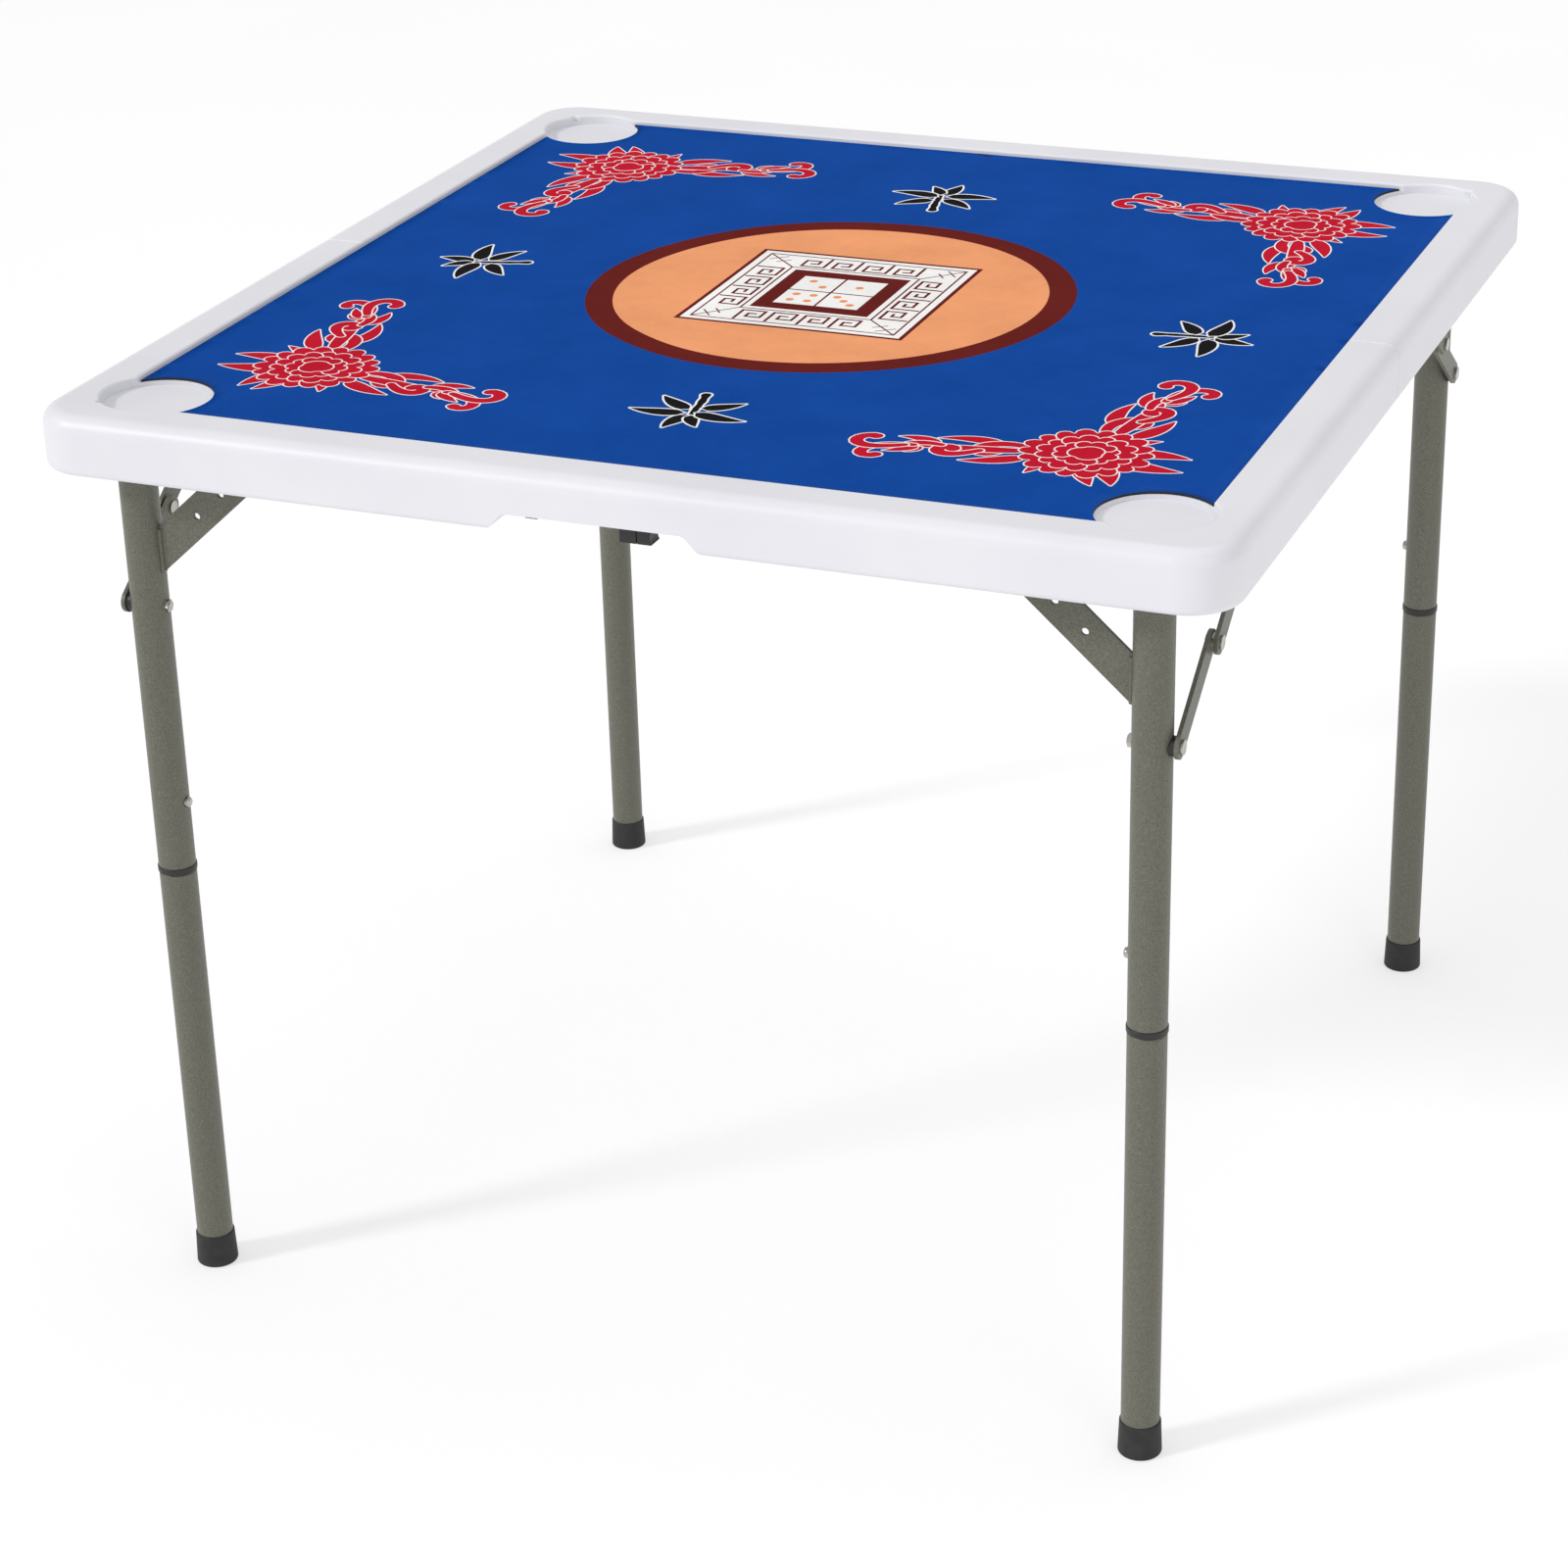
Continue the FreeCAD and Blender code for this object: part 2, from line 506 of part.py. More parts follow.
def push_button(side, end):
    """Round-nosed steel button on the side that faces the middle of the table."""
    nose_x = LEG_X - LEG_R - 3.2
    pin = rod((nose_x, LEG_Y, BUTTON_Z), (1, 0, 0), BUTTON_R, BUTTON_SEAT - 1.0 - nose_x)
    front = [e for e in pin.Edges if e.BoundBox.XMax < nose_x + 1e-6]
    pin = pin.makeFillet(2.4, front)
    flange = rod((BUTTON_SEAT - 1.6, LEG_Y, BUTTON_Z), (1, 0, 0), BUTTON_R + 1.5, 1.6)
    flange = flange.common(rod((LEG_X, LEG_Y, 0.0), (0, 0, 1), NECK_R - NECK_WALL - 0.3, HEIGHT))
    pin = pin.fuse(flange)
    return mirror_y(mirror_x(pin.removeSplitter(), side), end)


def button_spring():
    """Bent leaf behind a button, pressed against the far wall of the neck."""
    far_x = LEG_X + NECK_R - NECK_WALL - 0.3
    half = 3.0
    leaf = 0.6
    front = box((BUTTON_SEAT, LEG_Y - half, BUTTON_Z - 7.0), (BUTTON_SEAT + leaf, LEG_Y + half, BUTTON_Z + 22.0))
    rear = box((far_x - leaf, LEG_Y - half, BUTTON_Z - 7.0), (far_x, LEG_Y + half, BUTTON_Z + 22.0))
    rear.translate(V(-0.6, 0, 0))
    radius = (far_x - 0.6 - BUTTON_SEAT) / 2.0
    bend = ring((BUTTON_SEAT + radius, LEG_Y - half, BUTTON_Z + 22.0), (0, 1, 0), radius, radius - leaf, 2.0 * half)
    bend = bend.common(box((0.0, 0.0, BUTTON_Z + 22.0), (HALF, HALF, HEIGHT)))
    return front.fuse(rear).fuse(bend).removeSplitter()


def make_lower_legs():
    for end, word in ((1, "back"), (-1, "front")):
        save("button_springs_" + word, both_sides(mirror_y(button_spring(), end)))
        for side, hand in ((-1, "left"), (1, "right")):
            tag = "%s_%s" % (word, hand)
            save("lower_leg_" + tag, lower_leg(side, end))
            save("foot_" + tag, foot(side, end))
            save("push_button_" + tag, push_button(side, end))


# ---- carrying handle ----
def make_handle():
    """A flat bail with two narrow arms and a deeper grip, folded in under the deck."""
    low = HANDLE_Z - HANDLE_T / 2.0
    high = HANDLE_Z + HANDLE_T / 2.0
    out = HANDLE_ARM_X + 5.0
    far = HANDLE_Y + HANDLE_REACH
    bail = box((-out, HANDLE_Y, low), (out, far, high))
    corner = [e for e in bail.Edges
              if abs(e.BoundBox.ZLength - HANDLE_T) < 1e-6 and e.BoundBox.YMin > far - 1.0]
    bail = bail.makeFillet(14.0, corner)
    window = box((-out + 10.0, HANDLE_Y - 10.0, low - 1.0), (out - 10.0, far - 20.0, high + 1.0))
    corner = [e for e in window.Edges
              if e.BoundBox.ZLength > HANDLE_T and e.BoundBox.YMin > far - 21.0]
    bail = bail.cut(window.makeFillet(9.0, corner))
    for side in SIDES:
        x = side * HANDLE_ARM_X
        boss = rod((x - 5.0, HANDLE_Y, HANDLE_Z), (1, 0, 0), HANDLE_T / 2.0, 10.0)
        bail = bail.fuse(boss)
        bail = bail.cut(rod((x - 6.0, HANDLE_Y, HANDLE_Z), (1, 0, 0), 1.5 + RUN_FIT, 12.0))
    save("handle", bail.removeSplitter())
    inner = -INNER
    foot_x = HANDLE_ARM_X + 5.5
    bracket = box((foot_x, inner, HANDLE_Z - 3.5), (foot_x + 9.0, HANDLE_Y + 4.0, HANDLE_Z + 3.5))
    bracket = bracket.fuse(rod((HANDLE_ARM_X - 5.0, HANDLE_Y, HANDLE_Z), (1, 0, 0), 1.5, 11.0))
    save("handle_brackets", both_sides(bracket.removeSplitter()))
    x0 = 17.0
    clip = box((x0, -432.0, NOTCH_Z - 12.8), (x0 + 25.0, -418.0, NOTCH_Z))
    clip = clip.cut(rod((x0 + 31.0, -440.0, NOTCH_Z - 8.6), (0, 1, 0), 9.0, 40.0))
    clip = clip.cut(box((x0 + 12.0, -433.0, NOTCH_Z - 15.0), (x0 + 12.8, -431.0, NOTCH_Z - 1.0)))
    clip = clip.fuse(box((x0 + 20.0, -432.0, NOTCH_Z - 3.0), (x0 + 34.0, -418.0, NOTCH_Z)))
    save("handle_clip", clip.removeSplitter())


def main():
    os.makedirs("parts", exist_ok=True)
    make_top()
    make_mat()
    make_hinges()
    make_rails()
    make_frames()
    make_struts()
    make_lower_legs()
    make_handle()
    for name, shape in sorted(PARTS.items()):
        shape.exportStep("parts/%s.step" % name)
        bad = [s for s in shape.Solids if not s.isValid()]
        print("%-28s solids %2d  volume %10.1f  %s" % (name, len(shape.Solids), shape.Volume, "BAD" if bad else ""))
    print("nodes", len(PARTS), "links %.2f %.2f" % (LOWER_LINK, UPPER_LINK))


main()
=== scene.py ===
# %% [markdown]
# # A folding games table
#
# The table is a white blow-moulded top in two halves, a printed cloth mat laid
# in its recess, and two welded leg frames of powder-coated tube with pull-off
# lower legs. The CAD frame already holds every rigid piece at its real size,
# so this lesson is about surfaces, about the soft printed mat, and about light.

import json
from math import atan2, ceil, cos, degrees, exp, pi, radians, sin, sqrt

import bpy
import numpy as np
from mathutils import Matrix, Vector
from mathutils.geometry import delaunay_2d_cdt


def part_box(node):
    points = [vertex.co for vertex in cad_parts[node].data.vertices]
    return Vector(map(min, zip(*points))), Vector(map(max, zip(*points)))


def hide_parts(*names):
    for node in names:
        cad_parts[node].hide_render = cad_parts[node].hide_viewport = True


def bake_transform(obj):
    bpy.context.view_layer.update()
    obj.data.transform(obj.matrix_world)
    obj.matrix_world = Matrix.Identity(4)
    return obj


MM = 0.001

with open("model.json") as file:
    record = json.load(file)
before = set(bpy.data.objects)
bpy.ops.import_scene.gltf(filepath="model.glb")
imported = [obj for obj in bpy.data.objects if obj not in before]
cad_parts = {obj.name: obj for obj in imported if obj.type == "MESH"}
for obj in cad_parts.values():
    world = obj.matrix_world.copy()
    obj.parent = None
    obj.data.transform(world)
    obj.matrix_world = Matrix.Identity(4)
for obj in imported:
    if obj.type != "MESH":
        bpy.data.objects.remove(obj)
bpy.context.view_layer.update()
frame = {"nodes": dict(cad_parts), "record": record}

# %% [markdown]
# ## Colours and nodes
#
# Colours are written as sRGB hex, the way a paint chart gives them. Blender
# mixes light in linear values, so each colour passes through one function.
# Shader nodes are added with one small function that also makes the links.

# %% Colour and node helpers
def linear(hex_colour):
    channels = [int(hex_colour[i:i + 2], 16) / 255 for i in (1, 3, 5)]
    curve = [c / 12.92 if c <= 0.04045 else ((c + 0.055) / 1.055) ** 2.4 for c in channels]
    return (*curve, 1.0)


def add(tree, kind, inputs=None, **settings):
    node = tree.nodes.new("ShaderNode" + kind)
    for name, value in settings.items():
        setattr(node, name, value)
    for name, value in (inputs or {}).items():
        socket = node.inputs[name]
        if isinstance(value, bpy.types.NodeSocket):
            tree.links.new(value, socket)
        else:
            socket.default_value = value
    return node


def per_metre(size_mm):
    """Noise scale that makes a pattern's features this many millimetres wide."""
    return 1 / (size_mm * MM)


def empty_material(name):
    material = bpy.data.materials.new(name)
    material.use_nodes = True
    material.node_tree.nodes.clear()
    place = add(material.node_tree, "TexCoord").outputs["Object"]
    return material, material.node_tree, place


def shade(tree, **inputs):
    shader = add(tree, "BsdfPrincipled", {name.replace("_", " "): v for name, v in inputs.items()})
    add(tree, "OutputMaterial", {"Surface": shader.outputs["BSDF"]})


print("white paper in linear light:", [round(c, 3) for c in linear("#F4F4F8")[:3]])

# %% [markdown]
# ## Blow-moulded HDPE
#
# The top is high-density polyethylene blown against an aluminium mould that
# was blasted to a fine grain. Hot plastic shrinks off the mould a little, so
# broad faces are never quite flat: the light slides over them in slow waves.
# Two noise textures do that, one a few centimetres wide and very shallow and
# one of fine grain, and a broad third one clouds the colour and the gloss.
# Real grain is about 0.3 mm, too fine to show at this distance, so it is drawn
# at 1.6 mm.

# %% Moulded top
HDPE_IOR = 1.54
MOULD_GRAIN_MM = 1.6
MOULD_WAVE_MM = 45
MOULD_CLOUD_MM = 120


def moulded_polyethylene():
    material, tree, place = empty_material("hdpe_blow_moulded")
    cloud = add(tree, "TexNoise", {"Vector": place, "Scale": per_metre(MOULD_CLOUD_MM), "Detail": 3.0})
    colour = add(tree, "ValToRGB", {"Fac": cloud.outputs["Fac"]})
    colour.color_ramp.elements[0].position = 0.35
    colour.color_ramp.elements[0].color = linear("#DBDBE1")
    colour.color_ramp.elements[1].position = 0.65
    colour.color_ramp.elements[1].color = linear("#E0E0E5")
    wave = add(tree, "TexNoise", {"Vector": place, "Scale": per_metre(MOULD_WAVE_MM), "Detail": 1.0})
    grain = add(tree, "TexNoise", {"Vector": place, "Scale": per_metre(MOULD_GRAIN_MM), "Detail": 2.0})
    rough = add(tree, "MapRange", {"Value": cloud.outputs["Fac"], "To Min": 0.36, "To Max": 0.50})
    swell = add(tree, "Bump", {"Height": wave.outputs["Fac"], "Strength": 0.25, "Distance": 1.2 * MM})
    skin = add(tree, "Bump", {"Height": grain.outputs["Fac"], "Strength": 0.35, "Distance": 0.06 * MM,
                              "Normal": swell.outputs["Normal"]})
    shade(tree, Base_Color=colour.outputs["Color"], Roughness=rough.outputs["Result"],
          IOR=HDPE_IOR, Normal=skin.outputs["Normal"])
    return material


hdpe = moulded_polyethylene()
print("made", hdpe.name)

# %% [markdown]
# ## Powder-coated steel tube
#
# The legs are drawn steel tube sprayed with dry polyester powder and baked.
# The powder melts into a skin with a soft orange peel about 2 mm across, with
# metallic and dark flecks in the khaki grey. A thin clear gloss lies on a
# fairly rough base, so the coat socket carries the sharper highlight. The
# welded gussets wear the same coat over the ripples of the weld.

# %% Powder coat
POWDER_IOR = 1.5
ORANGE_PEEL_MM = 2.2
FLECK_MM = 0.9
WELD_RIPPLE_MM = 1.5


def powder_coat(name, ripple=0.0):
    material, tree, place = empty_material(name)
    fleck = add(tree, "TexNoise", {"Vector": place, "Scale": per_metre(FLECK_MM), "Detail": 2.0})
    peel = add(tree, "TexNoise", {"Vector": place, "Scale": per_metre(ORANGE_PEEL_MM), "Detail": 1.0})
    colour = add(tree, "ValToRGB", {"Fac": fleck.outputs["Fac"]})
    ramp = colour.color_ramp
    ramp.elements[0].position = 0.30
    ramp.elements[0].color = linear("#4D4E44")
    ramp.elements[1].position = 0.72
    ramp.elements[1].color = linear("#716F60")
    middle = ramp.elements.new(0.50)
    middle.color = linear("#5D5C50")
    rough = add(tree, "MapRange", {"Value": peel.outputs["Fac"], "To Min": 0.42, "To Max": 0.56})
    edge = add(tree, "Bevel", {"Radius": 0.6 * MM}, samples=4)
    surface = add(tree, "Bump", {"Height": peel.outputs["Fac"], "Strength": 0.35, "Distance": 0.12 * MM,
                                 "Normal": edge.outputs["Normal"]})
    if ripple:
        bead = add(tree, "TexNoise", {"Vector": place, "Scale": per_metre(WELD_RIPPLE_MM), "Detail": 1.0})
        surface = add(tree, "Bump", {"Height": bead.outputs["Fac"], "Strength": ripple,
                                     "Distance": 0.8 * MM, "Normal": surface.outputs["Normal"]})
    shade(tree, Base_Color=colour.outputs["Color"], Roughness=rough.outputs["Result"], IOR=POWDER_IOR,
          Coat_Weight=0.15, Coat_Roughness=0.25, Normal=surface.outputs["Normal"])
    return material


tube_coat = powder_coat("polyester_powder_coat")
weld_coat = powder_coat("polyester_powder_coat_over_weld", ripple=0.6)
print("made", tube_coat.name, "and", weld_coat.name)

# %% [markdown]
# ## Plated and sprung steel
#
# Hinges, rails and screws are pressed steel with bright zinc plate, which
# clouds to blue and straw patches a centimetre or two across. Rivets, bolts,
# nuts and push buttons are nickel plated and smoother. The button springs are
# tempered wire, dark from the oil bath. All are metals, so the colour is the
# colour of the reflection and the IOR stays as Blender gives it.

# %% Metals
SCRATCH_MM = 0.8


def plated(name, pale, deep, patch_mm, smooth, dull):
    material, tree, place = empty_material(name)
    patch = add(tree, "TexNoise", {"Vector": place, "Scale": per_metre(patch_mm), "Detail": 3.0})
    colour = add(tree, "ValToRGB", {"Fac": patch.outputs["Fac"]})
    colour.color_ramp.elements[0].position = 0.35
    colour.color_ramp.elements[0].color = linear(deep)
    colour.color_ramp.elements[1].position = 0.65
    colour.color_ramp.elements[1].color = linear(pale)
    scratch = add(tree, "TexNoise", {"Vector": place, "Scale": per_metre(SCRATCH_MM), "Detail": 2.0})
    rough = add(tree, "MapRange", {"Value": scratch.outputs["Fac"], "To Min": smooth, "To Max": dull})
    edge = add(tree, "Bevel", {"Radius": 0.25 * MM}, samples=4)
    surface = add(tree, "Bump", {"Height": scratch.outputs["Fac"], "Strength": 0.2, "Distance": 0.02 * MM,
                                 "Normal": edge.outputs["Normal"]})
    shade(tree, Base_Color=colour.outputs["Color"], Metallic=1.0, Roughness=rough.outputs["Result"],
          Normal=surface.outputs["Normal"])
    return material


zinc = plated("zinc_plate_bright", "#C9CDD2", "#A9ABA6", 14, 0.26, 0.42)
nickel = plated("nickel_plate_polished", "#BDBAB3", "#A4A19A", 10, 0.18, 0.30)
tempered = plated("spring_wire_oil_tempered", "#7A7672", "#5A5652", 4, 0.30, 0.45)
print("made", zinc.name, nickel.name, "and", tempered.name)

# %% [markdown]
# ## Black nylon and rubber
#
# Collars, end plugs, spacers and the handle are injection-moulded nylon with a
# spark-eroded grain: black, even, with a soft highlight. The feet are rubber:
# duller, a shade greyer, and scuffed in patches where they meet the floor.

# %% Black mouldings
NYLON_IOR = 1.53
RUBBER_IOR = 1.52
SPARK_GRAIN_MM = 0.7
SHOE_GRAIN_MM = 1.2
SCUFF_MM = 9


def black_moulding(name, dark, worn, smooth, dull, grain_mm, grain_depth_mm, patch_mm, ior):
    material, tree, place = empty_material(name)
    patch = add(tree, "TexNoise", {"Vector": place, "Scale": per_metre(patch_mm), "Detail": 4.0})
    grain = add(tree, "TexVoronoi", {"Vector": place, "Scale": per_metre(grain_mm)})
    colour = add(tree, "ValToRGB", {"Fac": patch.outputs["Fac"]})
    colour.color_ramp.elements[0].position = 0.40
    colour.color_ramp.elements[0].color = linear(dark)
    colour.color_ramp.elements[1].position = 0.75
    colour.color_ramp.elements[1].color = linear(worn)
    rough = add(tree, "MapRange", {"Value": patch.outputs["Fac"], "To Min": smooth, "To Max": dull})
    edge = add(tree, "Bevel", {"Radius": 0.4 * MM}, samples=4)
    surface = add(tree, "Bump", {"Height": grain.outputs["Distance"], "Strength": 0.3,
                                 "Distance": grain_depth_mm * MM, "Normal": edge.outputs["Normal"]})
    shade(tree, Base_Color=colour.outputs["Color"], Roughness=rough.outputs["Result"], IOR=ior,
          Normal=surface.outputs["Normal"])
    return material


nylon = black_moulding("nylon_spark_grained", "#131314", "#1E1E1F", 0.38, 0.52,
                       SPARK_GRAIN_MM, 0.05, 25, NYLON_IOR)
rubber = black_moulding("rubber_moulded", "#191919", "#2C2B2A", 0.58, 0.80,
                        SHOE_GRAIN_MM, 0.08, SCUFF_MM, RUBBER_IOR)
print("made", nylon.name, "and", rubber.name)

# %% [markdown]
# ## Put the finishes on the frame
#
# The record names a material slot for every CAD node, and one table turns a
# slot into a finish. Only the weld beads differ from their slot: they wear the
# rippled coat. The two plain mat solids are rubber here, and the printed sheet
# takes their place further on.

# %% Finish every node
FINISHES = {
    "moulded_top": hdpe,
    "coated_steel": tube_coat,
    "zinc_steel": zinc,
    "bright_steel": nickel,
    "spring_steel": tempered,
    "black_plastic": nylon,
    "black_rubber": rubber,
    "printed_mat": rubber,
}

for part in frame["record"]["subparts"]:
    node = part.get("node") or part["name"]
    finish = weld_coat if node.startswith("gusset_welds") else FINISHES[part["material_slot"]]
    solid = frame["nodes"][node]
    solid.data.materials.clear()
    solid.data.materials.append(finish)

# %% [markdown]
# ## The printed mat
#
# The mat is a sheet of knitted polyester on 2 mm of black sponge rubber, like
# a large mouse mat, with its picture dye-printed into the cloth. The picture
# could be an image texture. Here it is drawn as inked outlines instead, so
# every edge stays crisp: each shape is a polygon, later shapes lie over
# earlier ones like paint, and one triangulation cuts the sheet along them all.
# Work is in millimetres, with the middle of the table at zero. The sheet has
# points every 11 mm, and its corners are cut round the 40 mm cup recesses.

# %% Mat size and inks
front_low, front_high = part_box("mat_front")
MAT_HALF = max(front_high[0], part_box("mat_back")[1][1]) / MM
MAT_TOP = front_high[2] / MM
MAT_THICK = (front_high[2] - front_low[2]) / MM
CUP_PLACE = 371
CUP_CUT = 41
GRID_STEP = 11

INKS = {
    "blue": "#004398",
    "maroon": "#631713",
    "peach": "#EA9C6C",
    "white": "#EFEEEC",
    "black": "#0E0E12",
    "red": "#BE0C2A",
    "orange": "#E9935F",
}
picture = []


def lay(ink, outline):
    """Keep an outline with points no further apart than the sheet's grid, so that it can bend."""
    fine = []
    for a, b in zip(outline, outline[1:] + outline[:1]):
        parts = max(1, ceil((b - a).length / GRID_STEP))
        fine += [a.lerp(b, i / parts) for i in range(parts)]
    picture.append((ink, fine))


print("mat", round(2 * MAT_HALF, 1), "mm square,", round(MAT_THICK, 2), "mm thick")

# %% [markdown]
# ### Outlines
#
# The sheet is a square with a bite out of each corner for the cup recess.
# A ring, a disc and squares make the middle. Everything else is a few shapes:
# a brush stroke whose width changes along its path, and a petal.

# %% Shape helpers
def circle(centre, radius, steps=96):
    return [Vector((centre[0] + radius * cos(2 * pi * i / steps),
                    centre[1] + radius * sin(2 * pi * i / steps))) for i in range(steps)]


def oblong(half_x, half_y):
    return [Vector((-half_x, -half_y)), Vector((half_x, -half_y)),
            Vector((half_x, half_y)), Vector((-half_x, half_y))]


def turned(points, angle, origin=(0, 0)):
    spin = Matrix.Rotation(angle, 2)
    return [spin @ Vector(p) + Vector(origin) for p in points]


def grown(outline, margin):
    """The outline moved outwards by margin, for the white line round a shape."""
    area = sum(a.x * b.y - b.x * a.y for a, b in zip(outline, outline[1:] + outline[:1]))
    side = 1 if area > 0 else -1
    out = []
    for i, p in enumerate(outline):
        along = outline[(i + 1) % len(outline)] - outline[i - 1]
        normal = Vector((along.y, -along.x)).normalized()
        out.append(p + normal * margin * side)
    return out


FINEST_END = 0.3


def brush(ink, path, widths, edge):
    """A stroke of changing width over its white edge: four-sided patches with round ends."""
    for colour, extra in (("white", edge), (ink, 0.0)):
        sides = []
        for i, p in enumerate(path):
            along = path[min(i + 1, len(path) - 1)] - path[max(i - 1, 0)]
            across = Vector((-along.y, along.x)).normalized() * (widths[i] / 2 + extra)
            sides.append((p + across, p - across))
        for (a, b), (c, d) in zip(sides, sides[1:]):
            lay(colour, [a, b, d, c])
        for end in (0, -1):
            radius = widths[end] / 2 + extra
            if radius > FINEST_END:
                lay(colour, circle(path[end], radius, 12))


def corner_bite():
    """The arc that one cup recess cuts out of the sheet's corner."""
    reach = MAT_HALF - CUP_PLACE
    half_angle = atan2(sqrt(CUP_CUT ** 2 - reach ** 2), reach)
    start, sweep, steps = -half_angle, 1.5 * pi - 2 * half_angle, 26
    return [Vector((CUP_PLACE + CUP_CUT * cos(start - sweep * i / steps),
                    CUP_PLACE + CUP_CUT * sin(start - sweep * i / steps))) for i in range(steps + 1)]


sheet_outline = []
for quarter in range(4):
    sheet_outline += turned(corner_bite(), quarter * pi / 2)
lay("blue", sheet_outline)
print("mat outline has", len(sheet_outline), "points")

# %% [markdown]
# ### Middle medallion
#
# A dark ring round a peach disc, with a framed white square on it. The square
# carries a running key fret, a pattern far older than any maker, and four
# pale tiles with coloured pips.

# %% Ring, disc and fret
RING_R = 187
DISC_R = 166
FRAMES = [("maroon", 91), ("white", 87.5), ("maroon", 82), ("white", 80.4),
          ("maroon", 53.5), ("white", 51.9), ("maroon", 47.5), ("white", 34)]
KEY = [(0, 0), (0, 21), (18.5, 21), (18.5, 6.5), (7, 6.5), (7, 14), (12.5, 14)]
KEY_LINE = 2.4
KEY_PITCH = 25.5
KEY_MARGIN = 3.2
KEY_BASE = -78.5
KEYS_PER_SIDE = 4
MITRE = [(-81.5, -80.5), (-80.5, -81.5), (-52, -53), (-53, -52)]
CORNER_TICKS = [[(-78, -65), (-76.4, -65), (-66.4, -78), (-68, -78)],
                [(-70, -60), (-68.4, -60), (-61.4, -70), (-63, -70)]]
TILE_HALF = 34
TILE_LINE = 0.9
PIP_R = 3.3
PIPS = [(-23, 23), (-11, 11), (17, 17), (-24, -10), (-10, -10), (-24, -24), (-10, -24),
        (9, -9), (17, -17), (25, -25)]

lay("maroon", circle((0, 0), RING_R, 144))
lay("peach", circle((0, 0), DISC_R, 144))
for ink, half in FRAMES:
    lay(ink, oblong(half, half))

for side in range(4):
    for k in range(KEYS_PER_SIDE):
        left = (k - KEYS_PER_SIDE / 2) * KEY_PITCH + KEY_MARGIN
        corners = [Vector((left + x, KEY_BASE + y)) for x, y in KEY]
        for a, b in zip(corners, corners[1:]):
            overrun = (b - a).normalized() * KEY_LINE / 2
            across = Vector((-overrun.y, overrun.x))
            lay("maroon", turned([a - overrun - across, b + overrun - across,
                                  b + overrun + across, a - overrun + across], side * pi / 2))
    for outline in [MITRE] + CORNER_TICKS:
        lay("maroon", turned([Vector(p) for p in outline], side * pi / 2))
for angle in (0, pi / 2):
    lay("maroon", turned(oblong(TILE_HALF, TILE_LINE), angle))
for pip in PIPS:
    lay("orange", circle(pip, PIP_R, 16))
print("medallion drawn,", len(picture), "shapes so far")

# %% [markdown]
# ### Brush sprays
#
# On each side of the medallion stands one black brush mark with a white edge.
# They are sprays of bamboo leaves: a leaf starts thin, swells fast and runs
# out to a point, as a loaded brush leaves it.

# %% Bamboo sprays
def bent_path(start, heading, length, bend, steps=9):
    """Points along a path that turns by bend in all, at an even rate."""
    path, p = [Vector(start)], Vector(start)
    for i in range(steps):
        direction = heading + bend * (i + 0.5) / steps
        p = p + Vector((cos(direction), sin(direction))) * (length / steps)
        path.append(p.copy())
    return path


THINNEST = 0.4


def leaf(ink, start, heading, length, width, bend, edge, place):
    path = place(bent_path(start, heading, length, bend))
    last = len(path) - 1
    widths = [max(THINNEST, width * sin(pi * (i / last) ** 0.62) ** 0.8) for i in range(last + 1)]
    brush(ink, path, widths, edge)


# Each leaf: where it starts, its heading, length, width and bend.
SPRAY_LEAVES = [
    (-3, 12, 66, 30, 12, 24), (2, 8, 22, 40, 13, -30), (2, 0, -22, 34, 12, -24),
    (-5, 12, 112, 24, 10, 22), (-6, 6, 158, 40, 13, 32), (-6, -4, 204, 32, 12, 26),
]
SPRAY_EDGE = 1.6
SPRAYS = [((-5, 262), 0), ((-286, -6), 95), ((4, -277), 178), ((295, -17), -92)]
STEM_WIDTHS = [7.5, 5.0, 6.0, 4.5, 5.5, 4.5, 3.5]

for centre, tilt in SPRAYS:
    def stand(path, centre=centre, tilt=tilt):
        return turned(path, radians(tilt), centre)
    stem = stand(bent_path((3, -31), radians(104), 42, radians(-8), 6))
    brush("black", stem, STEM_WIDTHS, SPRAY_EDGE)
    for x, y, heading, length, width, bend in SPRAY_LEAVES:
        leaf("black", (x, y), radians(heading), length, width, radians(bend), SPRAY_EDGE, stand)
print("sprays drawn,", len(picture), "shapes so far")

# %% [markdown]
# ### Corner flowers
#
# Each corner holds a red peony with a scrolling vine along both edges, all
# outlined in white. A petal is a fan with a scalloped rim. Rings of petals are
# laid from the outside in, so each ring's white line shows over the last. The
# vine is brush strokes that wind up into a bulb.

# %% Peony and vine
PEONY_PLACE = (293, 277)
FLOWER_EDGE = 1.1
VINE_SPREAD = 0.16


def petal(heading, length, spread, steps=18):
    """A fan from the flower's middle, with three scallops along its rim."""
    outline = [Vector((0, 0))]
    for i in range(steps + 1):
        t = i / steps
        ruffle = 0.84 + 0.16 * abs(sin(3 * pi * t)) ** 0.7
        fade = 1 - 0.10 * abs(2 * t - 1) ** 3
        direction = heading + spread * (2 * t - 1)
        outline.append(Vector((cos(direction), sin(direction))) * length * ruffle * fade)
    return outline


def outlined(ink, outline, place):
    shape = place(outline)
    lay("white", grown(shape, FLOWER_EDGE))
    lay(ink, shape)


